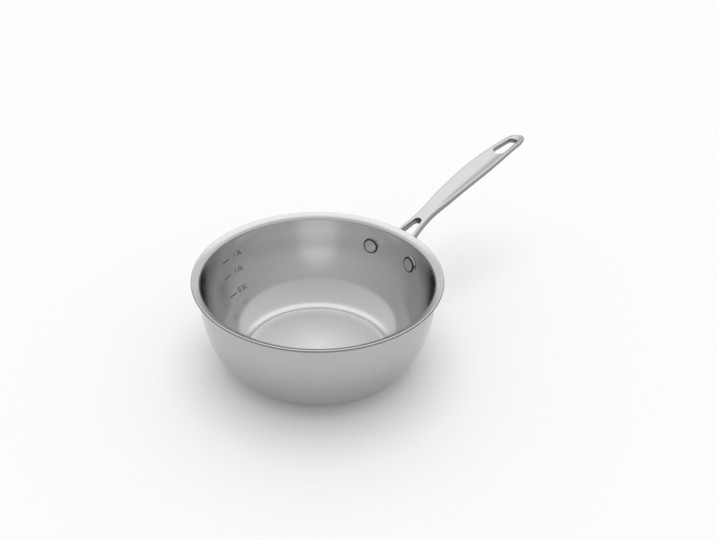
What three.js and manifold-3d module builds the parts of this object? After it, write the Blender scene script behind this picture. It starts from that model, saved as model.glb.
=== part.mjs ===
// Deep saute pan: a bowl pressed from three bonded plies, with a cast forked handle on two rivets.
// Millimetres, +Z up. The origin is the centre of the flat underside, and the handle runs along +X.

import * as THREE from 'three';
import { mergeVertices } from 'three/addons/utils/BufferGeometryUtils.js';
import Module from 'manifold-3d';

const wasm = await Module();
wasm.setup();

const degrees = THREE.MathUtils.degToRad;

// Bowl, measured on its outer face
const RIM_RADIUS = 106;
const RIM_HEIGHT = 85.8;
const BASE_RADIUS = 56;
const CORNER_RADIUS = 37.5;
const UPRIGHT_BAND = 8.5;
const LIP_OVERHANG = 5.7;
const LIP_BEND_RADIUS = 3.4;
const LIP_TURN = degrees(65);

// Plies, from the hob side to the food side
const SHELL_PLY = 0.4;
const CORE_PLY = 1.1;
const LINER_PLY = 0.4;
const BOND_LINE = 0.05;

// Handle casting: places along X are measured out from the rim
const HANDLE_LENGTH = 193;
const TIP_RISE = 33.9;
const TIP_SLOPE = degrees(6);
const TIP_EASE = 120;
const ROOT_SLOPE = degrees(20);
const ROOT_EASE = 8;
const ROOT_RISE = 9.5;
const ROOT_WIDTH = 28;
const ROOT_DEPTH = 9;
const LEG_AT = 12;
const LEG_SPREAD = 20.4;
const LEG_DEPTH = 6.6;
const NECK_AT = 38;
const NECK_WIDTH = 15.2;
const NECK_DEPTH = 6.2;
const NECK_CROWN = 0.5;
const SHOULDER_AT = 66;
const SHOULDER_WIDTH = 20;
const SHOULDER_DEPTH = 5.4;
const GRIP_FROM_TIP = 67;
const GRIP_WIDTH = 24.2;
const GRIP_DEPTH = 5;
const GRIP_DISH = 1;
const END_FROM_TIP = 20;
const END_WIDTH = 19;
const END_DEPTH = 4.8;
const EDGE_RADIUS = 1.4;
const TIP_THINNING = 0.5;

// Hanging hole and fork slot
const HANG_HOLE_FROM_TIP = 16;
const HANG_HOLE_LENGTH = 22.6;
const HANG_HOLE_NEAR_RADIUS = 5.8;
const HANG_HOLE_FAR_RADIUS = 4;
const SLOT_END_AT = 30;
const SLOT_END_RADIUS = 3.8;
const SLOT_ROOT_WIDTH = 20.6;

// Riveting flange and rivets
const RIVET_DROP = 24.3;
const RIVET_SPACING = 48;
const FLANGE_THICKNESS = 3.4;
const FLANGE_HEIGHT = 24;
const SHANK_RADIUS = 3.2;
const HEAD_RADIUS = 7.5;
const HEAD_HEIGHT = 2.2;
const HEAD_EDGE = 1.1;
const TAIL_RADIUS = 5.6;
const TAIL_HEIGHT = 2;
const TAIL_EDGE = 0.9;

// Clearance between pieces that seat on each other, and limits that keep rounds inside their forms
const FIT_GAP = 0.3;
const CORNER_SHARE = 0.9;
const EDGE_WIDTH_SHARE = 0.6;
const EDGE_DEPTH_SHARE = 0.45;
const DISH_SQUARENESS = 4;
const CUT_REACH = 4;

// Fineness of round forms
const BOWL_SEGMENTS = 60;
const FLANGE_SEGMENTS = 120;
const ROUND_SEGMENTS = 24;
const CORNER_STEPS = 5;
const WALL_STEPS = 4;
const BEND_STEPS = 2;
const BAR_STATIONS = 26;
const END_STATIONS = 8;
const EDGE_STEPS = 3;
const CROWN_STEPS = 6;
const SPINE_POINTS = 200;
const TIP_STEP = 0.6;
const WELD = 1e-4;

// Finishes: colour, metalness, roughness
const SATIN_STEEL = [0xc9cacb, 1, 0.35];
const POLISHED_STEEL = [0xd8d8d8, 1, 0.12];
const CAST_STEEL = [0xd4d4d3, 1, 0.3];
const RIVET_STEEL = [0xd0d0d0, 1, 0.2];
const ALUMINIUM = [0xd6d8da, 1, 0.5];

// Bowl profile worked out from the driving sizes: base, corner arc, wall arc, upright band, lip
const coreDepth = SHELL_PLY + BOND_LINE;
const linerDepth = coreDepth + CORE_PLY + BOND_LINE;
const wall = linerDepth + LINER_PLY;
const neckRadius = RIM_RADIUS - LIP_OVERHANG;
const flare = neckRadius - BASE_RADIUS;
const cornerRadius = Math.min(CORNER_RADIUS, CORNER_SHARE * flare);
const midBend = LIP_BEND_RADIUS + wall / 2;
const lipRun = (LIP_OVERHANG - midBend * (1 - Math.cos(LIP_TURN))) / Math.sin(LIP_TURN);
const lipRise = midBend * Math.sin(LIP_TURN) + lipRun * Math.cos(LIP_TURN);
const bendHeight = RIM_HEIGHT - wall / 2 - lipRise;
const uprightHeight = bendHeight - UPRIGHT_BAND;
const quarter = Math.PI / 2;
const cornerTurn = 2 * Math.atan((uprightHeight - cornerRadius) / (flare - cornerRadius)) - quarter;
const wallArcRadius = (flare - cornerRadius * Math.sin(cornerTurn)) / (1 - Math.sin(cornerTurn));
const wallCentre = new THREE.Vector2(neckRadius - wallArcRadius, uprightHeight);

// Rivets sit on the outer face of the wall, square to it
const rivetHeight = RIM_HEIGHT - RIVET_DROP;
const rivetRadius = wallRadiusAt(rivetHeight);
const rivetTurn = Math.asin(RIVET_SPACING / 2 / rivetRadius);
const rivetTilt = Math.asin(Math.max(0, wallCentre.y - rivetHeight) / wallArcRadius);

// Handle reference points
const tipX = RIM_RADIUS + HANDLE_LENGTH;
const flangeRadius = neckRadius + FIT_GAP + FLANGE_THICKNESS;
const rootX = flangeRadius - FLANGE_THICKNESS / 2;

// Radius of the wall's outer face at a height above the corner
function wallRadiusAt(height) {
  if (height >= uprightHeight) return neckRadius;
  return wallCentre.x + Math.sqrt(wallArcRadius ** 2 - (wallCentre.y - height) ** 2);
}

// Points on an arc about a centre, with angles from the +X direction
function arc(x, y, radius, from, to, steps) {
  return Array.from({ length: steps + 1 }, (_, i) => {
    const angle = from + (to - from) * i / steps;
    return new THREE.Vector2(x + radius * Math.cos(angle), y + radius * Math.sin(angle));
  });
}

// One face of a ply, from the axis out to the lip's edge, at a depth inside the bowl's outer face
function bowlFace(depth) {
  const join = cornerTurn - quarter;
  const corner = arc(BASE_RADIUS, cornerRadius, cornerRadius - depth, -quarter, join, CORNER_STEPS);
  const side = arc(wallCentre.x, wallCentre.y, wallArcRadius - depth, join, 0, WALL_STEPS);
  const bendX = neckRadius + LIP_BEND_RADIUS;
  const bend = arc(bendX, bendHeight, LIP_BEND_RADIUS + depth, Math.PI, Math.PI - LIP_TURN, BEND_STEPS);
  const edgeRound = Math.sqrt(Math.max(0, (wall / 2) ** 2 - (depth - wall / 2) ** 2));
  const outward = new THREE.Vector2(Math.sin(LIP_TURN), Math.cos(LIP_TURN));
  const edge = bend.at(-1).clone().addScaledVector(outward, lipRun + edgeRound);
  return [new THREE.Vector2(0, depth), ...corner, ...side.slice(1), ...bend, edge];
}

// A closed profile turned about Z
function revolve(profile, segments) {
  return new THREE.LatheGeometry(profile, segments).rotateX(quarter);
}

// Closed solid from a geometry: shared corners welded, collapsed triangles left out
function solidOf(geometry) {
  const bare = geometry.clone();
  bare.deleteAttribute('normal');
  bare.deleteAttribute('uv');
  const welded = mergeVertices(bare, WELD);
  const index = welded.index.array;
  const triangles = [];
  for (let i = 0; i < index.length; i += 3) {
    const [a, b, c] = index.slice(i, i + 3);
    if (a !== b && b !== c && c !== a) triangles.push(a, b, c);
  }
  const vertProperties = new Float32Array(welded.attributes.position.array);
  const triVerts = new Uint32Array(triangles);
  return new wasm.Manifold(new wasm.Mesh({ numProp: 3, vertProperties, triVerts }));
}

// Geometry from a closed solid
function geometryOf(solid) {
  const { vertProperties, triVerts } = solid.getMesh();
  const geometry = new THREE.BufferGeometry();
  geometry.setAttribute('position', new THREE.BufferAttribute(vertProperties, 3));
  geometry.setIndex(new THREE.BufferAttribute(triVerts, 1));
  geometry.computeVertexNormals();
  return geometry;
}

// Named piece with its own finish
function piece(name, geometry, [color, metalness, roughness]) {
  const finish = new THREE.MeshStandardMaterial({ color, metalness, roughness });
  const mesh = new THREE.Mesh(geometry, finish);
  mesh.name = name;
  return mesh;
}

// Group whose +Y runs out of the wall through a rivet, starting at the wall's outer face
function rivetSeat(side, child) {
  const seat = new THREE.Group();
  seat.rotation.z = side * rivetTurn;
  child.position.set(rivetRadius, 0, rivetHeight);
  child.rotation.set(0, rivetTilt, -quarter, 'YXZ');
  seat.add(child);
  seat.updateMatrixWorld(true);
  return seat;
}

// Hole for a rivet's shank, through the plies and the flange
function rivetHole(side) {
  const length = CUT_REACH * (wall + FLANGE_THICKNESS);
  const drill = new THREE.Mesh(new THREE.CylinderGeometry(
    SHANK_RADIUS + FIT_GAP, SHANK_RADIUS + FIT_GAP, length, ROUND_SEGMENTS));
  rivetSeat(side, drill);
  return solidOf(drill.geometry.clone().applyMatrix4(drill.matrixWorld));
}

const rivetHoles = rivetHole(1).add(rivetHole(-1));

// Ply between two depths inside the bowl's outer face, drilled for the rivets
function ply(outerDepth, innerDepth) {
  const profile = [...bowlFace(outerDepth), ...bowlFace(innerDepth).reverse()];
  return geometryOf(solidOf(revolve(profile, BOWL_SEGMENTS)).subtract(rivetHoles));
}

// Smooth value along the handle from a few stations measured out from the rim
function along(stations) {
  const places = Float32Array.from(stations, ([at]) => RIM_RADIUS + at);
  const values = Float32Array.from(stations, ([, value]) => value);
  const curve = new THREE.CubicInterpolant(places, values, 1);
  return (x) => curve.evaluate(x)[0];
}

const rootAt = rootX - RIM_RADIUS;
const gripAt = HANDLE_LENGTH - GRIP_FROM_TIP;
const endAt = HANDLE_LENGTH - END_FROM_TIP;
const widthAt = along([
  [rootAt, ROOT_WIDTH], [LEG_AT, LEG_SPREAD], [NECK_AT, NECK_WIDTH],
  [SHOULDER_AT, SHOULDER_WIDTH], [gripAt, GRIP_WIDTH], [endAt, END_WIDTH],
]);
const depthAt = along([
  [rootAt, ROOT_DEPTH], [LEG_AT, LEG_DEPTH], [NECK_AT, NECK_DEPTH],
  [SHOULDER_AT, SHOULDER_DEPTH], [gripAt, GRIP_DEPTH], [endAt, END_DEPTH],
]);
const crownAt = along([
  [rootAt, NECK_CROWN], [NECK_AT, NECK_CROWN], [gripAt, -GRIP_DISH], [endAt, -GRIP_DISH],
]);

// Line of the handle's upper edges, seen from the side
const root = new THREE.Vector2(rootX, rivetHeight + ROOT_RISE);
const tip = new THREE.Vector2(tipX, RIM_HEIGHT + TIP_RISE);
const spine = new THREE.CubicBezierCurve(
  root,
  new THREE.Vector2(Math.cos(ROOT_SLOPE), Math.sin(ROOT_SLOPE)).multiplyScalar(ROOT_EASE).add(root),
  new THREE.Vector2(-Math.cos(TIP_SLOPE), -Math.sin(TIP_SLOPE)).multiplyScalar(TIP_EASE).add(tip),
  tip);
const spinePoints = spine.getPoints(SPINE_POINTS);
const spineHeight = new THREE.LinearInterpolant(
  Float32Array.from(spinePoints, (p) => p.x), Float32Array.from(spinePoints, (p) => p.y), 1);

// Rounded section of the bar, its top crowned or dished: across, then up, counterclockwise
function barSection(half, depth, crown) {
  const edge = Math.min(EDGE_RADIUS, EDGE_WIDTH_SHARE * half, EDGE_DEPTH_SHARE * depth);
  const flat = half - edge;
  const top = Array.from({ length: CROWN_STEPS - 1 }, (_, i) => {
    const across = 1 - 2 * (i + 1) / CROWN_STEPS;
    return new THREE.Vector2(across * flat, crown * (1 - across ** DISH_SQUARENESS));
  });
  return [
    ...arc(-flat, edge - depth, edge, -2 * quarter, -quarter, EDGE_STEPS),
    ...arc(flat, edge - depth, edge, -quarter, 0, EDGE_STEPS),
    ...arc(flat, -edge, edge, 0, quarter, EDGE_STEPS),
    ...top,
    ...arc(-flat, -edge, edge, quarter, 2 * quarter, EDGE_STEPS),
  ];
}

// Closed skin over rings of equal count, with a fan at each end
function loft(rings) {
  const count = rings[0].length;
  const points = rings.flat();
  const triangles = [];
  for (let i = 0; i + 1 < rings.length; i += 1) {
    for (let j = 0; j < count; j += 1) {
      const a = i * count + j;
      const b = i * count + (j + 1) % count;
      triangles.push(a, b, a + count, b, b + count, a + count);
    }
  }
  const last = (rings.length - 1) * count;
  const middle = (ring) => ring.reduce((sum, p) => sum.add(p), new THREE.Vector3()).divideScalar(count);
  points.push(middle(rings[0]), middle(rings.at(-1)));
  for (let j = 0; j < count; j += 1) {
    const next = (j + 1) % count;
    triangles.push(points.length - 2, next, j, points.length - 1, last + j, last + next);
  }
  return new THREE.BufferGeometry().setFromPoints(points).setIndex(triangles);
}

// Bar of the handle, from inside the flange to the rounded tip
function bar() {
  const endX = RIM_RADIUS + endAt;
  const mainRun = endX - rootX;
  const main = Array.from({ length: BAR_STATIONS }, (_, i) => rootX + mainRun * i / BAR_STATIONS);
  const end = Array.from({ length: END_STATIONS }, (_, i) => {
    return endX + END_FROM_TIP * Math.sin(quarter * i / (END_STATIONS - TIP_STEP));
  });
  const rings = [...main, ...end].map((x) => {
    const rounding = Math.sqrt(1 - (Math.max(0, x - endX) / END_FROM_TIP) ** 2);
    const place = Math.min(x, endX);
    const depth = depthAt(place) * (1 - TIP_THINNING * (1 - Math.sqrt(rounding)));
    const drop = (depthAt(place) - depth) / 2;
    const height = spineHeight.evaluate(x)[0];
    const slope = Math.atan((spineHeight.evaluate(x + 1)[0] - spineHeight.evaluate(x - 1)[0]) / 2);
    const section = barSection(rounding * widthAt(place) / 2, depth, rounding * crownAt(place));
    return section.map((p) => {
      const up = p.y - drop;
      return new THREE.Vector3(x - up * Math.sin(slope), p.x, height + up * Math.cos(slope));
    });
  });
  return loft(rings);
}

// Upright prism over a plan outline
function prism(outline) {
  const height = CUT_REACH * RIM_HEIGHT;
  return new THREE.ExtrudeGeometry(new THREE.Shape(outline), { depth: height, bevelEnabled: false });
}

// Slot between the legs: a round end, widening towards the pan
function forkSlot() {
  const centre = RIM_RADIUS + SLOT_END_AT - SLOT_END_RADIUS;
  const mouth = neckRadius;
  return prism([
    new THREE.Vector2(mouth, -SLOT_ROOT_WIDTH / 2),
    ...arc(centre, 0, SLOT_END_RADIUS, -quarter, quarter, ROUND_SEGMENTS / 2),
    new THREE.Vector2(mouth, SLOT_ROOT_WIDTH / 2),
  ]);
}

// Hanging hole: two round ends joined by straight sides
function hangHole() {
  const far = tipX - HANG_HOLE_FROM_TIP;
  const near = far - HANG_HOLE_LENGTH;
  const lean = Math.acos((HANG_HOLE_NEAR_RADIUS - HANG_HOLE_FAR_RADIUS) / HANG_HOLE_LENGTH);
  return prism([
    ...arc(far, 0, HANG_HOLE_FAR_RADIUS, -lean, lean, ROUND_SEGMENTS / 2),
    ...arc(near, 0, HANG_HOLE_NEAR_RADIUS, lean, 4 * quarter - lean, ROUND_SEGMENTS / 2),
  ]);
}

// Flange: a band that follows the wall, cut to a long round-ended plate over the two rivets
function flange() {
  const low = rivetHeight - FLANGE_HEIGHT;
  const rows = 2 * WALL_STEPS + 1;
  const heights = Array.from({ length: rows }, (_, i) => low + FLANGE_HEIGHT * i / WALL_STEPS);
  const face = (gap) => heights.map((z) => new THREE.Vector2(wallRadiusAt(z) + gap, z));
  const outer = face(FIT_GAP + FLANGE_THICKNESS);
  const band = revolve([...outer, ...face(FIT_GAP).reverse(), outer[0]], FLANGE_SEGMENTS);
  const end = FLANGE_HEIGHT / 2;
  const reach = RIVET_SPACING / 2;
  const outline = new THREE.Shape([
    ...arc(reach, rivetHeight, end, -quarter, quarter, ROUND_SEGMENTS / 2),
    ...arc(-reach, rivetHeight, end, quarter, 3 * quarter, ROUND_SEGMENTS / 2),
  ]);
  const plate = new THREE.ExtrudeGeometry(outline, { depth: 2 * RIM_RADIUS, bevelEnabled: false });
  const toSide = new THREE.Matrix4().makeBasis(
    new THREE.Vector3(0, 1, 0), new THREE.Vector3(0, 0, 1), new THREE.Vector3(1, 0, 0));
  return solidOf(band).intersect(solidOf(plate.applyMatrix4(toSide)));
}

// Handle: forked bar joined to the flange, pierced for hanging and for the rivets
function handle() {
  const forked = solidOf(bar()).subtract(solidOf(forkSlot()));
  return geometryOf(forked.add(flange()).subtract(solidOf(hangHole())).subtract(rivetHoles));
}

// How far a round face bends away from a flat seat of the given radius
function sagitta(seat, radius) {
  return radius - Math.sqrt(radius ** 2 - seat ** 2);
}

// Rivet along Y: wide head inside the bowl, shank, formed tail outside the flange.
// The head clears the liner's tighter bend, and its flat facets round the bowl and up the wall
function rivet() {
  const tighterBend = Math.min(rivetRadius, wallArcRadius) - wall;
  const roundSag = rivetRadius * (1 - Math.cos(Math.PI / BOWL_SEGMENTS));
  const wallSag = wallArcRadius * (1 - Math.cos((quarter - cornerTurn) / WALL_STEPS / 2));
  const headSeat = -wall - sagitta(HEAD_RADIUS, tighterBend) - roundSag - wallSag - FIT_GAP;
  const headTop = headSeat - HEAD_HEIGHT;
  const tailSeat = FIT_GAP + FLANGE_THICKNESS + FIT_GAP;
  const tailTop = tailSeat + TAIL_HEIGHT;
  return new THREE.LatheGeometry([
    new THREE.Vector2(0, headTop),
    ...arc(HEAD_RADIUS - HEAD_EDGE, headTop + HEAD_EDGE, HEAD_EDGE, -quarter, 0, EDGE_STEPS),
    new THREE.Vector2(HEAD_RADIUS, headSeat),
    new THREE.Vector2(SHANK_RADIUS, headSeat),
    new THREE.Vector2(SHANK_RADIUS, tailSeat),
    new THREE.Vector2(TAIL_RADIUS, tailSeat),
    ...arc(TAIL_RADIUS - TAIL_EDGE, tailTop - TAIL_EDGE, TAIL_EDGE, 0, quarter, EDGE_STEPS),
    new THREE.Vector2(0, tailTop),
  ], ROUND_SEGMENTS);
}

const pan = new THREE.Group();
pan.add(piece('outer_shell', ply(0, SHELL_PLY), SATIN_STEEL));
pan.add(piece('aluminium_core', ply(coreDepth, coreDepth + CORE_PLY), ALUMINIUM));
pan.add(piece('inner_liner', ply(linerDepth, wall), POLISHED_STEEL));
pan.add(piece('handle', handle(), CAST_STEEL));
pan.add(rivetSeat(1, piece('rivet_left', rivet(), RIVET_STEEL)));
pan.add(rivetSeat(-1, piece('rivet_right', rivet(), RIVET_STEEL)));

export default pan;
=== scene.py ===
import math

import bmesh
import bpy
from mathutils import Matrix, Vector
from mathutils.geometry import interpolate_bezier


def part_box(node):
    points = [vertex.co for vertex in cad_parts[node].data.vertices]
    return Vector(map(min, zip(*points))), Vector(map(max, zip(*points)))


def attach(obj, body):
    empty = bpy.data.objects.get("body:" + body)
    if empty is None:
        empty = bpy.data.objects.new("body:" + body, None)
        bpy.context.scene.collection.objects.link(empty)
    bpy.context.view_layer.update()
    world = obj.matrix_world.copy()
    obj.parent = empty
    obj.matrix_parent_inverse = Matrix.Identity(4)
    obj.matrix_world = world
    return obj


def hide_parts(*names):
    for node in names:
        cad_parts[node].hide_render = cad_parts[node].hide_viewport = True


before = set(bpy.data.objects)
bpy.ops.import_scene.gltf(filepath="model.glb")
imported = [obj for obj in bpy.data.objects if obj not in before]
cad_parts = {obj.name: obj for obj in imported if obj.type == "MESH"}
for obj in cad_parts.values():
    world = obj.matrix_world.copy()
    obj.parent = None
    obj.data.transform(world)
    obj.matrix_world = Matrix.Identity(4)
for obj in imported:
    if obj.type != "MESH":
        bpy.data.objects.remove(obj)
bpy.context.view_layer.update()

scene = bpy.context.scene
scene.view_settings.view_transform = "Standard"

# Camera: it looks down into the bowl from the front, with the handle leading away to the right.
# The picture is a crop, so the lens is shifted sideways and the camera stays square to the bowl's axis.
MM = 0.001
IMAGE_WIDTH = 716
AXIS_PIXEL = 317.5
FOCAL_PIXELS = 825.6
SENSOR_WIDTH = 36
CAMERA_DISTANCE = 581.8 * MM
CAMERA_HEIGHT = 465.45 * MM
CAMERA_AZIMUTH = math.radians(45)
AIM_HEIGHT = 88.4 * MM


def add_object(name, data):
    """A new object at the origin, linked into the scene."""
    thing = bpy.data.objects.new(name, data)
    scene.collection.objects.link(thing)
    return thing


away = Vector((math.sin(CAMERA_AZIMUTH), math.cos(CAMERA_AZIMUTH), 0))
camera = add_object("camera", bpy.data.cameras.new("camera"))
camera.data.sensor_width = SENSOR_WIDTH
camera.data.lens = FOCAL_PIXELS * SENSOR_WIDTH / IMAGE_WIDTH
camera.data.shift_x = 0.5 - AXIS_PIXEL / IMAGE_WIDTH
camera.location = Vector((0, 0, CAMERA_HEIGHT)) - CAMERA_DISTANCE * away
look = Vector((0, 0, AIM_HEIGHT)) - camera.location
camera.rotation_euler = look.to_track_quat("-Z", "Y").to_euler()
scene.camera = camera

# Studio: a pale floor in a white tent, dimmer on the camera's side than behind the pan and darkest low down
# there, with a round softbox high behind the pan. A lamp overhead lights matt surfaces alone. The floor is
# topped up for what the camera and the metal see, and keeps the shadow.
FLOOR_SIZE = 12
FLOOR_WHITE = 0xF7F7F7
FLOOR_TOP_UP = 0.08
BACKDROP_WHITE = 0xFFFFFF
BACKDROP_SEEN = 1.0
TENT_FRONT, TENT_BACK = 0.56, 0.76
SOFTBOX = 1.2
SOFTBOX_RISE = math.radians(58)
SOFTBOX_EDGE, SOFTBOX_CORE = math.radians(28), math.radians(20)
HORIZON = 0.24
HORIZON_FROM, HORIZON_TO = 0.08, 0.34
OVERHEAD = 0.8
OVERHEAD_SPREAD = math.radians(45)


def add_node(tree, kind, inputs=None, **settings):
    """Adds a node with its settings; an input is a value or another node's output to link."""
    node = tree.nodes.new(kind)
    for name, value in settings.items():
        setattr(node, name, value)
    for socket, value in (inputs or {}).items():
        if isinstance(value, bpy.types.NodeSocket):
            tree.links.new(value, node.inputs[socket])
        else:
            node.inputs[socket].default_value = value
    return node


def linear(hex_colour):
    """Linear RGBA from an sRGB hex value."""
    channels = [(hex_colour >> shift & 255) / 255 for shift in (16, 8, 0)]
    return [c / 12.92 if c <= 0.04045 else ((c + 0.055) / 1.055) ** 2.4 for c in channels] + [1]


def new_material(name):
    """An empty node material and its tree."""
    material = bpy.data.materials.new(name)
    material.use_nodes = True
    material.node_tree.nodes.clear()
    return material, material.node_tree


# Matt white paint: an even, pale ground without gloss, so only the soft shadow shows on it.
floor_paint, tree = new_material("white_floor_paint")
path = add_node(tree, "ShaderNodeLightPath")
seen = add_node(tree, "ShaderNodeMath", {
    0: path.outputs["Is Camera Ray"], 1: path.outputs["Is Glossy Ray"]})
seen = add_node(tree, "ShaderNodeMath", {
    0: seen.outputs[0], 1: path.outputs["Is Transmission Ray"]}, use_clamp=True)
top_up = add_node(tree, "ShaderNodeMath", {0: seen.outputs[0], 1: FLOOR_TOP_UP}, operation="MULTIPLY")
glow = add_node(tree, "ShaderNodeEmission", {"Strength": top_up.outputs[0]})
matt = add_node(tree, "ShaderNodeBsdfDiffuse", {"Color": linear(FLOOR_WHITE)})
both = add_node(tree, "ShaderNodeAddShader", {0: matt.outputs[0], 1: glow.outputs[0]})
add_node(tree, "ShaderNodeOutputMaterial", {"Surface": both.outputs[0]})

bm = bmesh.new()
bmesh.ops.create_grid(bm, x_segments=1, y_segments=1, size=FLOOR_SIZE / 2)
floor = add_object("studio_floor", bpy.data.meshes.new("studio_floor"))
bm.to_mesh(floor.data)
bm.free()
floor.data.materials.append(floor_paint)

world = bpy.data.worlds.new("studio")
scene.world = world
world.use_nodes = True
tree = world.node_tree
tree.nodes.clear()
direction = add_node(tree, "ShaderNodeTexCoord").outputs["Generated"]
back = add_node(tree, "ShaderNodeVectorMath", {0: direction, 1: away}, operation="DOT_PRODUCT")
aim = math.cos(SOFTBOX_RISE) * away + Vector((0, 0, math.sin(SOFTBOX_RISE)))
near = add_node(tree, "ShaderNodeVectorMath", {0: direction, 1: aim}, operation="DOT_PRODUCT")
rise = add_node(tree, "ShaderNodeSeparateXYZ", {0: direction}).outputs["Z"]
far_side = add_node(tree, "ShaderNodeMapRange", {
    "Value": rise, "From Min": HORIZON_FROM, "From Max": HORIZON_TO, "To Min": HORIZON, "To Max": TENT_BACK})
cloth = add_node(tree, "ShaderNodeMapRange", {
    "Value": back.outputs["Value"], "From Min": -1.0, "From Max": 1.0,
    "To Min": TENT_FRONT, "To Max": far_side.outputs[0]})
tent = add_node(tree, "ShaderNodeMapRange", {
    "Value": near.outputs["Value"], "From Min": math.cos(SOFTBOX_EDGE), "From Max": math.cos(SOFTBOX_CORE),
    "To Min": cloth.outputs[0], "To Max": SOFTBOX}, interpolation_type="SMOOTHSTEP")
path = add_node(tree, "ShaderNodeLightPath")
strength = add_node(tree, "ShaderNodeMix", {
    "Factor": path.outputs["Is Camera Ray"], "A": tent.outputs[0], "B": BACKDROP_SEEN})
sky = add_node(tree, "ShaderNodeBackground", {
    "Color": linear(BACKDROP_WHITE), "Strength": strength.outputs[0]})
add_node(tree, "ShaderNodeOutputWorld", {"Surface": sky.outputs[0]})

lamp = add_object("overhead_lamp", bpy.data.lights.new("overhead_lamp", "SUN"))
lamp.data.energy = OVERHEAD
lamp.data.angle = OVERHEAD_SPREAD
lamp.visible_glossy = False

# Outer shell: the steel skin that meets the hob, pressed with the other plies from one round blank.
# The flat base turns through a wide corner into a slowly steepening wall, a short upright band and
# a lip that flares outwards with a rounded edge. Its outside is satin finished on a lathe.
RIM_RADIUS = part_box("aluminium_core")[1].x
RIM_HEIGHT = 85.8 * MM
BASE_RADIUS = 56 * MM
CORNER_RADIUS = 37.5 * MM
UPRIGHT_BAND = 9.7 * MM
LIP_OVERHANG = 5.7 * MM
LIP_BEND_RADIUS = 1.6 * MM
LIP_TURN = math.radians(65)
SHELL_PLY = 0.4 * MM
CORE_PLY = 1.1 * MM
LINER_PLY = 0.4 * MM
BOND_LINE = 0.05 * MM
BOWL_SEGMENTS = 256
CORNER_STEPS = 16
WALL_STEPS = 20
BEND_STEPS = 10
EDGE_STEPS = 4
MERGE_DISTANCE = 0.001 * MM
SHARP_ANGLE = math.radians(40)

core_depth = SHELL_PLY + BOND_LINE
liner_depth = core_depth + CORE_PLY + BOND_LINE
wall = liner_depth + LINER_PLY
neck_radius = RIM_RADIUS - LIP_OVERHANG
flare = neck_radius - BASE_RADIUS
mid_bend = LIP_BEND_RADIUS + wall / 2
lip_run = (LIP_OVERHANG - mid_bend * (1 - math.cos(LIP_TURN))) / math.sin(LIP_TURN)
bend_height = RIM_HEIGHT - wall / 2 - mid_bend * math.sin(LIP_TURN) - lip_run * math.cos(LIP_TURN)
upright_height = bend_height - UPRIGHT_BAND
corner_turn = 2 * math.atan((upright_height - CORNER_RADIUS) / (flare - CORNER_RADIUS)) - math.pi / 2
wall_turn = math.pi / 2 - corner_turn
wall_arc = (flare - CORNER_RADIUS * math.sin(corner_turn)) / (1 - math.sin(corner_turn))
corner_centre = Vector((BASE_RADIUS, 0, CORNER_RADIUS))
wall_centre = Vector((neck_radius - wall_arc, 0, upright_height))
bend_centre = Vector((neck_radius + LIP_BEND_RADIUS, 0, bend_height))
lip_outward = Vector((math.sin(LIP_TURN), 0, math.cos(LIP_TURN)))
lip_upward = Vector((-math.cos(LIP_TURN), 0, math.sin(LIP_TURN)))
edge_centre = bend_centre + mid_bend * lip_upward + lip_run * lip_outward


def line_to(bm, vert, place):
    """Draws the profile on from its last vertex in a straight line."""
    end = bmesh.ops.extrude_vert_indiv(bm, verts=[vert])["verts"][0]
    end.co = place
    return end


def arc_on(bm, vert, centre, turn, steps):
    """Draws the profile on round a centre, anticlockwise seen with the axis on the left."""
    spun = bmesh.ops.spin(
        bm, geom=[vert], cent=centre, axis=(0, -1, 0), angle=turn, steps=steps)
    return [v for v in spun["geom_last"] if isinstance(v, bmesh.types.BMVert)][0]


def revolve(bm, segments):
    """Turns a closed profile about the bowl's axis into a solid."""
    bmesh.ops.spin(
        bm, geom=bm.verts[:] + bm.edges[:], cent=(0, 0, 0), axis=(0, 0, 1),
        angle=2 * math.pi, steps=segments, use_merge=True)
    bmesh.ops.remove_doubles(bm, verts=bm.verts, dist=MERGE_DISTANCE)
    bmesh.ops.recalc_face_normals(bm, faces=bm.faces)


def edge_angle(depth):
    """Where a depth inside the bowl's outer face meets the lip's round edge, as an angle on that edge."""
    return math.asin(max(-1, min(1, 2 * depth / wall - 1)))


def ply(outer_depth, inner_depth):
    """One ply of the bowl between two depths inside its outer face, with its share of the round edge."""
    bm = bmesh.new()
    start, end = edge_angle(outer_depth), edge_angle(inner_depth)
    edge_start = math.cos(start) * lip_outward + math.sin(start) * lip_upward
    v = bmesh.ops.create_vert(bm, co=(0, 0, outer_depth))["vert"][0]
    v = line_to(bm, v, (BASE_RADIUS, 0, outer_depth))
    v = arc_on(bm, v, corner_centre, corner_turn, CORNER_STEPS)
    v = arc_on(bm, v, wall_centre, wall_turn, WALL_STEPS)
    v = line_to(bm, v, (neck_radius - outer_depth, 0, bend_height))
    v = arc_on(bm, v, bend_centre, -LIP_TURN, BEND_STEPS)
    v = line_to(bm, v, edge_centre + wall / 2 * edge_start)
    v = arc_on(bm, v, edge_centre, end - start, EDGE_STEPS)
    v = line_to(bm, v, bend_centre + (LIP_BEND_RADIUS + inner_depth) * lip_upward)
    v = arc_on(bm, v, bend_centre, LIP_TURN, BEND_STEPS)
    v = line_to(bm, v, (neck_radius - inner_depth, 0, upright_height))
    v = arc_on(bm, v, wall_centre, -wall_turn, WALL_STEPS)
    v = arc_on(bm, v, corner_centre, -corner_turn, CORNER_STEPS)
    v = line_to(bm, v, (0, 0, inner_depth))
    revolve(bm, BOWL_SEGMENTS)
    return bm


def piece_from(name, bm, material):
    """A finished piece: smooth faces, sharp creases kept, its material on."""
    for face in bm.faces:
        face.smooth = True
    for edge in bm.edges:
        edge.smooth = edge.calc_face_angle(0) < SHARP_ANGLE
    thing = add_object(name, bpy.data.meshes.new(name))
    bm.to_mesh(thing.data)
    bm.free()
    thing.data.materials.append(material)
    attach(thing, "root")
    return thing


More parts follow.
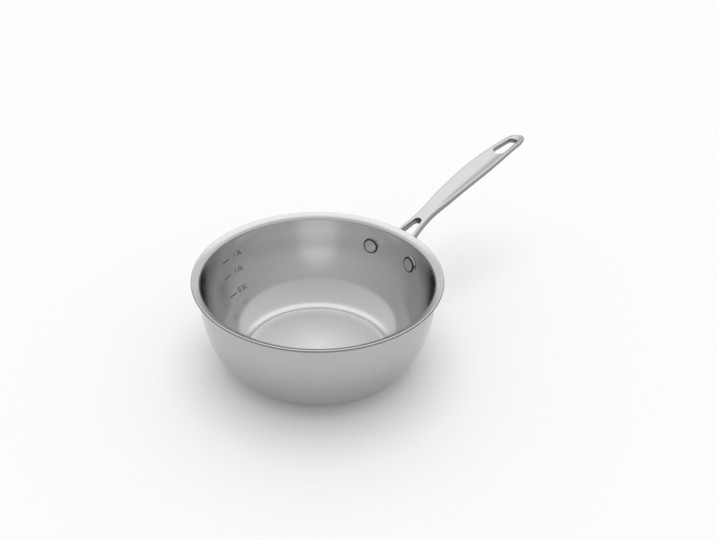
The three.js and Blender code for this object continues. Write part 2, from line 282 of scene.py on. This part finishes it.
# Stainless steel, satin finished with abrasive while it turns: grey, with a soft upright sheen. The real
# lines are about 0.1 mm apart and would not show, so they are drawn 0.6 mm apart.
SHELL_GREY = 0xB6B6B6
SHELL_ROUGHNESS = 0.2
SHELL_BRUSHING = 0.3
SHELL_LINE_PITCH = 0.6 * MM
SHELL_LINE_DEPTH = 0.004 * MM
GRAIN_DETAIL = 2.0
GRAIN_LOW, GRAIN_HIGH = 0.3, 0.7
GLOSS_SPREAD = 0.1
QUARTER_TURN = 0.25


def round_lines(tree, pitch):
    """Fine tool lines that run round the bowl's axis, this far apart."""
    place = add_node(tree, "ShaderNodeTexCoord").outputs["Object"]
    parts = add_node(tree, "ShaderNodeSeparateXYZ", {0: place})
    level = add_node(tree, "ShaderNodeVectorMath", {0: place, 1: (1, 1, 0)}, operation="MULTIPLY")
    radius = add_node(tree, "ShaderNodeVectorMath", {0: level.outputs[0]}, operation="LENGTH")
    turn = add_node(tree, "ShaderNodeMath", {
        0: parts.outputs["Y"], 1: parts.outputs["X"]}, operation="ARCTAN2")
    reach = add_node(tree, "ShaderNodeMath", {0: radius.outputs["Value"], 1: parts.outputs["Z"]})
    across = add_node(tree, "ShaderNodeMath", {0: reach.outputs[0], 1: 1 / pitch}, operation="MULTIPLY")
    lines = add_node(tree, "ShaderNodeCombineXYZ", {0: across.outputs[0], 1: turn.outputs[0]})
    grain = add_node(tree, "ShaderNodeTexNoise", {
        "Vector": lines.outputs[0], "Scale": 1.0, "Detail": GRAIN_DETAIL})
    return grain.outputs["Fac"]


def add_metal(tree, colour, roughness, lines, line_depth, brushing=0.0):
    """Bare metal whose tool lines vary its gloss; brushing spreads its highlights across the lines."""
    vary = add_node(tree, "ShaderNodeMapRange", {
        "Value": lines, "From Min": GRAIN_LOW, "From Max": GRAIN_HIGH,
        "To Min": 1 - GLOSS_SPREAD, "To Max": 1 + GLOSS_SPREAD})
    rough = add_node(tree, "ShaderNodeMath", {0: vary.outputs[0], 1: roughness}, operation="MULTIPLY")
    bump = add_node(tree, "ShaderNodeBump", {"Height": lines, "Strength": 1.0, "Distance": line_depth})
    round_axis = add_node(tree, "ShaderNodeTangent", direction_type="RADIAL", axis="Z")
    shader = add_node(tree, "ShaderNodeBsdfPrincipled", {
        "Base Color": colour, "Metallic": 1.0, "Roughness": rough.outputs[0], "Normal": bump.outputs[0],
        "Anisotropic": brushing, "Anisotropic Rotation": QUARTER_TURN, "Tangent": round_axis.outputs[0]})
    add_node(tree, "ShaderNodeOutputMaterial", {"Surface": shader.outputs[0]})


def turned_metal(name, grey, roughness, line_pitch, line_depth, brushing=0.0):
    """A metal that was finished while it turned, so that its tool lines run round the bowl's axis."""
    material, tree = new_material(name)
    add_metal(tree, linear(grey), roughness, round_lines(tree, line_pitch), line_depth, brushing)
    return material


shell_steel = turned_metal(
    "lathe_satin_stainless_steel", SHELL_GREY, SHELL_ROUGHNESS, SHELL_LINE_PITCH, SHELL_LINE_DEPTH,
    SHELL_BRUSHING)
outer_shell = piece_from("outer_shell_satin", ply(0, SHELL_PLY), shell_steel)
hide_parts("outer_shell")

# Aluminium core: the thick soft ply that spreads the heat, rolled and bonded between the two steel
# skins. It only shows as a hairline in the rounded edge of the lip.
# Rolled aluminium: duller and darker than the skins, so that the hairline sets them apart.
CORE_GREY = 0x8E9092
CORE_ROUGHNESS = 0.4
core_metal = turned_metal(
    "rolled_aluminium", CORE_GREY, CORE_ROUGHNESS, SHELL_LINE_PITCH, SHELL_LINE_DEPTH, SHELL_BRUSHING)
core = piece_from("aluminium_core_ply", ply(core_depth, core_depth + CORE_PLY), core_metal)
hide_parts("aluminium_core")

# Inner liner: the steel skin that touches the food, polished like a mirror up the wall and over the
# lip. The floor is left satin by its circular grinding, up to a bright ring in the corner.
FLOOR_EDGE = 64.4 * MM
LINER_LINE_PITCH = 0.8 * MM
LINER_LINE_DEPTH = 0.0006 * MM

# Stainless steel, mirror polished: it shows the room and the bowl in itself, drawn out across the last
# polishing lines. The real ones are too fine to show, so they are drawn 0.8 mm apart.
WALL_GREY = 0xDCDCDC
WALL_ROUGHNESS = 0.15
WALL_BRUSHING = 0.7
wall_steel = turned_metal(
    "mirror_polished_stainless_steel", WALL_GREY, WALL_ROUGHNESS, LINER_LINE_PITCH, LINER_LINE_DEPTH,
    WALL_BRUSHING)

# Stainless steel, ground in circles: paler and softer, with a wide sheen in place of an image. Its lines
# are drawn as coarse as the wall's.
FLOOR_GREY = 0xF9F9F9
FLOOR_ROUGHNESS = 0.35
FLOOR_BRUSHING = 0.5
floor_steel = turned_metal(
    "satin_ground_stainless_steel", FLOOR_GREY, FLOOR_ROUGHNESS, LINER_LINE_PITCH, LINER_LINE_DEPTH,
    FLOOR_BRUSHING)

bm = ply(liner_depth, wall)
for face in bm.faces:
    face.material_index = int(face.calc_center_median().xy.length < FLOOR_EDGE)
liner = piece_from("inner_liner_polished", bm, wall_steel)
liner.data.materials.append(floor_steel)
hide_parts("inner_liner")

# Litre marks: short lines and plain numerals etched dark into the liner, to the left of the handle
# as the cook looks into the bowl. Each stands where that volume comes up to. A row gives its numerals,
# its height in mm, and the turn about the bowl's axis in degrees where its line and its numerals start.
MARKS = (("0.5L", 29.9, 106.5, 98.9), ("1.0L", 48.2, 106.3, 97.9), ("1.5L", 64.1, 105.9, 97.4))
MARK_LENGTH = 9 * MM
MARK_WIDTH = 0.8 * MM
LETTER_HEIGHT = 4.6 * MM
LETTER_RISE = 0.6 * MM
CAPITAL_SHARE = 0.69
ETCH_DEPTH = 0.02 * MM
ETCH_STEP = 1 * MM
ETCH_CUTS = 24


def inner_radius(height):
    """Radius of the wall's polished face at a height above the corner."""
    if height >= upright_height:
        return neck_radius - wall
    return wall_centre.x + math.sqrt((wall_arc - wall) ** 2 - (wall_centre.z - height) ** 2)


def wrap_on_wall(bm, azimuth, height):
    """Lays a flat figure on the wall: its x runs to the right seen from inside, its y runs up."""
    for cut in range(1, ETCH_CUTS):
        bmesh.ops.bisect_plane(
            bm, geom=bm.verts[:] + bm.edges[:] + bm.faces[:],
            plane_co=(cut * ETCH_STEP, 0, 0), plane_no=(1, 0, 0))
    for v in bm.verts:
        up = height + v.co.y
        radius = inner_radius(up) - v.co.z
        turn = azimuth - v.co.x / radius
        v.co = (radius * math.cos(turn), radius * math.sin(turn), up)


def figure(text):
    """Flat mesh of a few numerals, as deep as the etching."""
    curve = bpy.data.curves.new("numerals", "FONT")
    curve.body = text
    curve.size = LETTER_HEIGHT / CAPITAL_SHARE
    curve.extrude = ETCH_DEPTH
    curve.align_y = "CENTER"
    holder = add_object("numerals", curve)
    mesh = bpy.data.meshes.new_from_object(holder)
    bpy.data.objects.remove(holder)
    return mesh


def join(bm, part):
    """Adds a part's faces to a piece and lets the part go."""
    shared = bpy.data.meshes.new("shared")
    part.to_mesh(shared)
    part.free()
    bm.from_mesh(shared)


marks = bmesh.new()
for text, height, line_azimuth, text_azimuth in MARKS:
    numerals = bmesh.new()
    numerals.from_mesh(figure(text))
    wrap_on_wall(numerals, math.radians(text_azimuth), height * MM + LETTER_RISE)
    join(marks, numerals)
    line = bmesh.new()
    stretch = Matrix.Diagonal((MARK_LENGTH, MARK_WIDTH, 2 * ETCH_DEPTH, 1))
    bmesh.ops.create_cube(line, size=1, matrix=Matrix.Translation((MARK_LENGTH / 2, 0, 0)) @ stretch)
    wrap_on_wall(line, math.radians(line_azimuth), height * MM)
    join(marks, line)

# Laser-etched steel: the beam leaves a rough, nearly black skin that mirrors nothing.
ETCH_GREY = 0x2E2E2E
ETCH_METALLIC = 0.5
ETCH_ROUGHNESS = 0.6
etching, tree = new_material("laser_etched_steel")
shader = add_node(tree, "ShaderNodeBsdfPrincipled", {
    "Base Color": linear(ETCH_GREY), "Metallic": ETCH_METALLIC, "Roughness": ETCH_ROUGHNESS})
add_node(tree, "ShaderNodeOutputMaterial", {"Surface": shader.outputs[0]})
litre_marks = piece_from("litre_marks", marks, etching)

# Handle: one investment casting in stainless steel, ground and satin polished. A flange curved to the
# wall carries two legs, which join at a slot's round end into a slim neck. The grip beyond is dished
# between raised round edges and ends in a tapered hole to hang it by.
HANDLE_LENGTH = 193 * MM
TIP_RISE = 33.9 * MM
TIP_SLOPE = math.radians(6)
TIP_EASE = 120 * MM
ROOT_SLOPE = math.radians(20)
ROOT_EASE = 8 * MM
ROOT_RISE = 9.5 * MM
RIVET_DROP = 24.3 * MM
RIVET_SPACING = 48 * MM
FLANGE_THICKNESS = 3.4 * MM
FLANGE_HEIGHT = 24 * MM
FIT_GAP = 0.3 * MM
GRIP_FROM_TIP = 67 * MM
END_FROM_TIP = 20 * MM
LEG_AT, NECK_AT, SHOULDER_AT = 12 * MM, 38 * MM, 66 * MM
# Width, depth and crown in mm at the root, the legs, the neck, the shoulder, the grip and the end.
WIDTHS = [28, 20.4, 15.2, 20, 24.2, 19]
DEPTHS = [9, 7.2, 6.2, 5.4, 5, 4.8]
CROWNS = [0.5, 0.5, 0, -1.2, -1.8, -1.5]
TOP_EDGE = 2 * MM
TOP_EDGE_STEPS = 6
HOLE_EDGE = 0.5 * MM
HOLE_EDGE_STEPS = 4
EDGE_ROOM = 1.2
CREASE_ANGLE = math.radians(50)
CREASE_RISE = 0.7
ROOT_FACE = 0.1 * MM
ROOT_FILLET = 3 * MM
FILLET_ABOVE, FILLET_BELOW = 0.5, 1.5
FILLET_STEP = 0.4 * MM
HANG_HOLE_FROM_TIP = 16 * MM
HANG_HOLE_LENGTH = 22.6 * MM
HANG_HOLE_NEAR_RADIUS = 6.3 * MM
HANG_HOLE_FAR_RADIUS = 4.4 * MM
SLOT_END_AT = 30 * MM
SLOT_END_RADIUS = 3.8 * MM
SLOT_LEAN = math.radians(11)
STATION_STEP = 1.5 * MM
ROUND_STEPS = 14
ACROSS_ROWS = 16
SPINE_POINTS = 200

rivet_height = RIM_HEIGHT - RIVET_DROP
tip_x = RIM_RADIUS + HANDLE_LENGTH
end_x = tip_x - END_FROM_TIP
flange_radius = neck_radius + FIT_GAP + FLANGE_THICKNESS
fillet_end = flange_radius + ROOT_FILLET
root_x = flange_radius - FLANGE_THICKNESS / 2


def wall_radius(height):
    """Radius of the wall's outer face at a height above the corner."""
    return inner_radius(height) + wall


def smooth_through(places, values):
    """A smooth value along the handle through a few stations."""
    slopes = [(b - a) / (q - p) for a, b, p, q in zip(values, values[1:], places, places[1:])]
    tangents = [slopes[0]] + [(s + t) / 2 for s, t in zip(slopes, slopes[1:])] + [slopes[-1]]

    def value_at(x):
        i = max(i for i, p in enumerate(places[:-1]) if p <= x or i == 0)
        run = places[i + 1] - places[i]
        t = min(1, max(0, (x - places[i]) / run))
        rise = values[i + 1] - values[i]
        bulge = (tangents[i] * run - rise) * (1 - t) - (tangents[i + 1] * run - rise) * t
        return values[i] + rise * t + t * (1 - t) * bulge

    return value_at


station_places = [
    root_x, RIM_RADIUS + LEG_AT, RIM_RADIUS + NECK_AT, RIM_RADIUS + SHOULDER_AT, tip_x - GRIP_FROM_TIP, end_x]
width_at = smooth_through(station_places, [w * MM for w in WIDTHS])
depth_at = smooth_through(station_places, [d * MM for d in DEPTHS])
crown_at = smooth_through(station_places, [c * MM for c in CROWNS])
spine_root = Vector((root_x, 0, rivet_height + ROOT_RISE))
spine_tip = Vector((tip_x, 0, RIM_HEIGHT + TIP_RISE))
spine = interpolate_bezier(
    spine_root, spine_root + ROOT_EASE * Vector((math.cos(ROOT_SLOPE), 0, math.sin(ROOT_SLOPE))),
    spine_tip - TIP_EASE * Vector((math.cos(TIP_SLOPE), 0, math.sin(TIP_SLOPE))), spine_tip, SPINE_POINTS)


def spine_height(x):
    """Height of the handle's upper edges."""
    i = max([i for i, p in enumerate(spine[:-1]) if p.x <= x], default=0)
    a, b = spine[i], spine[i + 1]
    return a.z + (b.z - a.z) * (x - a.x) / (b.x - a.x)


def root_flare(x):
    """Extra metal at the root, where a round fillet swells each leg into the flange."""
    short = min(ROOT_FILLET, max(0, fillet_end - x))
    return ROOT_FILLET - math.sqrt(ROOT_FILLET ** 2 - short ** 2)


def outline(x):
    """Point of the plan outline at a place along the handle."""
    if x <= end_x:
        return Vector((x, width_at(x) / 2 + root_flare(x)))
    return Vector((x, width_at(end_x) / 2 * math.sqrt(max(0, 1 - ((x - end_x) / END_FROM_TIP) ** 2))))


def top_height(x, y):
    """Height of the handle's top, crowned at the neck and dished between the raised edges of the grip."""
    crest = outline(min(x, end_x)).y - TOP_EDGE
    return spine_height(x) + crown_at(x) * max(0, 1 - (y / crest) ** 2) + FILLET_ABOVE * root_flare(x)


def span(start, end, step):
    """Even places from start towards end, without the end."""
    count = max(1, round((end - start) / step))
    return [start + (end - start) * i / count for i in range(count)]


def on_circle(centre, radius, angle):
    """Point of the plan at an angle round a centre on the handle's middle line."""
    return Vector((centre + radius * math.cos(angle), radius * math.sin(angle)))


# The half plan in stations from root to tip: an inner point, an outer point, and whether the inner one lies
# on the slot or the hanging hole instead of the middle line.
slot_centre = RIM_RADIUS + SLOT_END_AT - SLOT_END_RADIUS
slot_tangent = slot_centre + SLOT_END_RADIUS * math.sin(SLOT_LEAN)
hole_far = tip_x - HANG_HOLE_FROM_TIP
hole_near = hole_far - HANG_HOLE_LENGTH
hole_lean = math.acos((HANG_HOLE_NEAR_RADIUS - HANG_HOLE_FAR_RADIUS) / HANG_HOLE_LENGTH)
stations = []
for x in span(root_x, fillet_end, FILLET_STEP) + span(fillet_end, slot_tangent, STATION_STEP):
    half = SLOT_END_RADIUS * math.cos(SLOT_LEAN) + (slot_tangent - x) * math.tan(SLOT_LEAN)
    stations.append((Vector((x, half - root_flare(x))), outline(x), True))
for i in range(ROUND_STEPS + 1):
    inner = on_circle(slot_centre, SLOT_END_RADIUS, (math.pi / 2 - SLOT_LEAN) * (1 - i / ROUND_STEPS))
    stations.append((inner, outline(inner.x), True))
for x in span(slot_centre + SLOT_END_RADIUS, hole_near - HANG_HOLE_NEAR_RADIUS, STATION_STEP)[1:]:
    stations.append((Vector((x, 0)), outline(x), False))
for i in range(ROUND_STEPS + 1):
    inner = on_circle(hole_near, HANG_HOLE_NEAR_RADIUS, math.pi + (hole_lean - math.pi) * i / ROUND_STEPS)
    stations.append((inner, outline(inner.x), True))
side_start = on_circle(hole_near, HANG_HOLE_NEAR_RADIUS, hole_lean)
side_end = on_circle(hole_far, HANG_HOLE_FAR_RADIUS, hole_lean)
for x in span(side_start.x, side_end.x, STATION_STEP)[1:]:
    inner = side_start.lerp(side_end, (x - side_start.x) / (side_end.x - side_start.x))
    stations.append((inner, outline(x), True))
end_turn = math.asin((side_end.x - end_x) / END_FROM_TIP)
for i in range(ROUND_STEPS + 1):
    inner = on_circle(hole_far, HANG_HOLE_FAR_RADIUS, hole_lean * (1 - i / ROUND_STEPS))
    turn = end_turn + (math.pi / 2 - end_turn) * i / ROUND_STEPS
    stations.append((inner, outline(end_x + END_FROM_TIP * math.sin(turn)), True))


def thicken(bm):
    """Doubles a sheet, with walls round its edges, and gives the vertices of the new side to move away."""
    doubled = bmesh.ops.extrude_face_region(bm, geom=bm.faces[:])
    return [v for v in doubled["geom"] if isinstance(v, bmesh.types.BMVert)]


def sharp_edges(bm):
    """Edges where two faces meet steeply."""
    return [e for e in bm.edges if e.calc_face_angle(0) > CREASE_ANGLE]


def round_edges(bm, edges, width, steps):
    """Rounds edges over a width to each side."""
    bmesh.ops.bevel(
        bm, geom=edges, offset=width, offset_type="OFFSET", segments=steps, profile=0.5,
        affect="EDGES", material=-1)


# The rows of the sheet keep a little more than an edge's width clear of it, so that it can be rounded.
bm = bmesh.new()
hole_rim = bm.verts.layers.int.new("hole_rim")
bmesh.ops.create_grid(bm, x_segments=len(stations) - 1, y_segments=ACROSS_ROWS, size=0.5)
for v in bm.verts:
    station = round((v.co.x + 0.5) * (len(stations) - 1))
    row = round((v.co.y + 0.5) * ACROSS_ROWS)
    inner, outer, pierced = stations[station]
    reach = (outer - inner).length
    if row == 0:
        edge = reach
    elif row == ACROSS_ROWS:
        edge = 0
    else:
        first, last = reach - EDGE_ROOM * HOLE_EDGE, EDGE_ROOM * TOP_EDGE
        edge = first + (last - first) * (row - 1) / (ACROSS_ROWS - 2)
    place = outer - (outer - inner) * edge / reach
    v.co = (place.x, place.y, top_height(place.x, place.y))
    v[hole_rim] = int(pierced and row == 0)
bmesh.ops.mirror(bm, geom=bm.verts[:] + bm.edges[:] + bm.faces[:], merge_dist=MERGE_DISTANCE, axis="Y")
for v in thicken(bm):
    v.co.z -= depth_at(v.co.x) + FILLET_BELOW * root_flare(v.co.x)
bmesh.ops.recalc_face_normals(bm, faces=bm.faces)
creases = [e for e in sharp_edges(bm) if min(v.co.x for v in e.verts) > root_x + ROOT_FACE]
creases = [e for e in creases if abs((e.verts[0].co - e.verts[1].co).normalized().z) < CREASE_RISE]
hole_creases = [e for e in creases if all(v[hole_rim] for v in e.verts)]
round_edges(bm, [e for e in creases if e not in hole_creases], TOP_EDGE, TOP_EDGE_STEPS)
round_edges(bm, [e for e in hole_creases if e.is_valid], HOLE_EDGE, HOLE_EDGE_STEPS)

# The flange of the same casting is a long round-ended plate, curved to the wall, that the rivets go through.
FLANGE_EDGE = 1 * MM
FLANGE_EDGE_STEPS = 4
FLANGE_ROWS = 24
FLANGE_COLUMNS = 60
plate = bmesh.new()
bmesh.ops.create_grid(plate, x_segments=FLANGE_COLUMNS, y_segments=FLANGE_ROWS, size=0.5)
end_radius = FLANGE_HEIGHT / 2
for v in plate.verts:
    lean = math.pi * v.co.y
    height = rivet_height + end_radius * math.sin(lean)
    run = 2 * v.co.x * (RIVET_SPACING / 2 + end_radius * math.cos(lean))
    radius = wall_radius(height) + FIT_GAP
    v.co = (radius * math.cos(run / radius), radius * math.sin(run / radius), height)
for v in thicken(plate):
    v.co += FLANGE_THICKNESS * Vector((v.co.x, v.co.y, 0)).normalized()
bmesh.ops.recalc_face_normals(plate, faces=plate.faces)
round_edges(plate, sharp_edges(plate), FLANGE_EDGE, FLANGE_EDGE_STEPS)
join(bm, plate)

# Cast stainless steel: its top is belt polished along the handle to a bright satin, and its sides, its
# underside and the walls of its openings keep a duller blasted skin. The top is also painted lighter and the
# rest painted darker, as painted shade by which way each face points. The belt's real lines are about 0.1 mm
# apart and would not show, so they are drawn 0.5 mm apart.
TOP_LIT_GREY = 0xCCCCCB
TOP_ROUGHNESS = 0.18
SIDE_SHADED_GREY = 0x8C8C8B
SIDE_ROUGHNESS = 0.38
POLISH_AND_SHADE_FROM, POLISH_AND_SHADE_TO = 0.2, 0.55
BELT_LENGTH = 30 * MM
BELT_PITCH = 0.5 * MM
BELT_DEPTH = 0.003 * MM
cast_steel_painted_shade, tree = new_material("cast_steel_polished_top_painted_shade_sides")
surface = add_node(tree, "ShaderNodeTexCoord")
belt = add_node(tree, "ShaderNodeVectorMath", {
    0: surface.outputs["Object"], 1: (1 / BELT_LENGTH, 1 / BELT_PITCH, 1 / BELT_PITCH)}, operation="MULTIPLY")
grain = add_node(tree, "ShaderNodeTexNoise", {
    "Vector": belt.outputs[0], "Scale": 1.0, "Detail": GRAIN_DETAIL})
facing = add_node(tree, "ShaderNodeSeparateXYZ", {0: surface.outputs["Normal"]})
polish_and_shade = add_node(tree, "ShaderNodeMapRange", {
    "Value": facing.outputs["Z"], "From Min": POLISH_AND_SHADE_FROM, "From Max": POLISH_AND_SHADE_TO})
rough = add_node(tree, "ShaderNodeMapRange", {
    "Value": polish_and_shade.outputs[0], "To Min": SIDE_ROUGHNESS, "To Max": TOP_ROUGHNESS})
# Painted shade: faces that point up take the lighter grey, and faces that point sideways or down take the
# darker one.
painted_shade_tone = add_node(tree, "ShaderNodeMix", {
    0: polish_and_shade.outputs[0], 6: linear(SIDE_SHADED_GREY), 7: linear(TOP_LIT_GREY)}, data_type="RGBA")
add_metal(tree, painted_shade_tone.outputs[2], rough.outputs[0], grain.outputs["Fac"], BELT_DEPTH)
handle = piece_from("handle_casting", bm, cast_steel_painted_shade)
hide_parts("handle")

# Rivets: two steel rivets pushed through from inside the bowl, with wide flat heads on the liner and
# tails peened over on the flange.
SHANK_RADIUS = 3.2 * MM
HEAD_RADIUS = 7.5 * MM
HEAD_HEIGHT = 2.2 * MM
HEAD_EDGE = 1.1 * MM
HEAD_PAINTED_RING_FROM = 5.8 * MM
TAIL_RADIUS = 5.6 * MM
TAIL_HEIGHT = 2 * MM
TAIL_EDGE = 0.9 * MM
RIVET_EDGE_STEPS = 6
RIVET_SEGMENTS = 64

# Rivet steel, polished with the wall: the face of the head is as bright as the wall round it.
RIVET_GREY = 0xDCDCDC
RIVET_ROUGHNESS = 0.08
rivet_steel = turned_metal(
    "polished_rivet_steel", RIVET_GREY, RIVET_ROUGHNESS, LINER_LINE_PITCH, LINER_LINE_DEPTH)

# Rivet steel as it was formed, rougher round the edge of the head. That edge is also painted dark, a painted
# dark reflection in the round edge, which sets the head off from the wall.
EDGE_PAINTED_REFLECTION_GREY = 0x505050
EDGE_ROUGHNESS = 0.3
edge_painted_reflection_steel = turned_metal(
    "rivet_steel_painted_dark_reflection", EDGE_PAINTED_REFLECTION_GREY, EDGE_ROUGHNESS, LINER_LINE_PITCH, LINER_LINE_DEPTH)

rivet_radius = wall_radius(rivet_height)
rivet_turn = math.asin(RIVET_SPACING / 2 / rivet_radius)
rivet_tilt = math.asin(max(0, wall_centre.z - rivet_height) / wall_arc)
head_seat = -wall
head_top = head_seat - HEAD_HEIGHT
tail_seat = FIT_GAP + FLANGE_THICKNESS
tail_top = tail_seat + TAIL_HEIGHT
for name, side in (("rivet_left", 1), ("rivet_right", -1)):
    bm = bmesh.new()
    v = bmesh.ops.create_vert(bm, co=(0, 0, head_top))["vert"][0]
    v = line_to(bm, v, (HEAD_PAINTED_RING_FROM, 0, head_top))
    v = line_to(bm, v, (HEAD_RADIUS - HEAD_EDGE, 0, head_top))
    head_round = Vector((HEAD_RADIUS - HEAD_EDGE, 0, head_top + HEAD_EDGE))
    v = arc_on(bm, v, head_round, math.pi / 2, RIVET_EDGE_STEPS)
    v = line_to(bm, v, (HEAD_RADIUS, 0, head_seat + HEAD_EDGE))
    v = line_to(bm, v, (SHANK_RADIUS, 0, head_seat + HEAD_EDGE))
    v = line_to(bm, v, (SHANK_RADIUS, 0, tail_seat - FIT_GAP))
    v = line_to(bm, v, (TAIL_RADIUS, 0, tail_seat - FIT_GAP))
    v = line_to(bm, v, (TAIL_RADIUS, 0, tail_top - TAIL_EDGE))
    tail_round = Vector((TAIL_RADIUS - TAIL_EDGE, 0, tail_top - TAIL_EDGE))
    v = arc_on(bm, v, tail_round, math.pi / 2, RIVET_EDGE_STEPS)
    v = line_to(bm, v, (0, 0, tail_top))
    revolve(bm, RIVET_SEGMENTS)
    for face in bm.faces:
        middle = face.calc_center_median()
        # Painted dark reflection: the head's faces beyond this radius take the dark edge steel.
        face.material_index = int(middle.z < head_seat and middle.xy.length > HEAD_PAINTED_RING_FROM)
    out_of_wall = Matrix.Rotation(math.pi / 2 + rivet_tilt, 4, "Y")
    seat = Matrix.Rotation(side * rivet_turn, 4, "Z") @ Matrix.Translation((rivet_radius, 0, rivet_height))
    bmesh.ops.transform(bm, matrix=seat @ out_of_wall, verts=bm.verts)
    rivet = piece_from(name + "_steel", bm, rivet_steel)
    rivet.data.materials.append(edge_painted_reflection_steel)
    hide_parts(name)
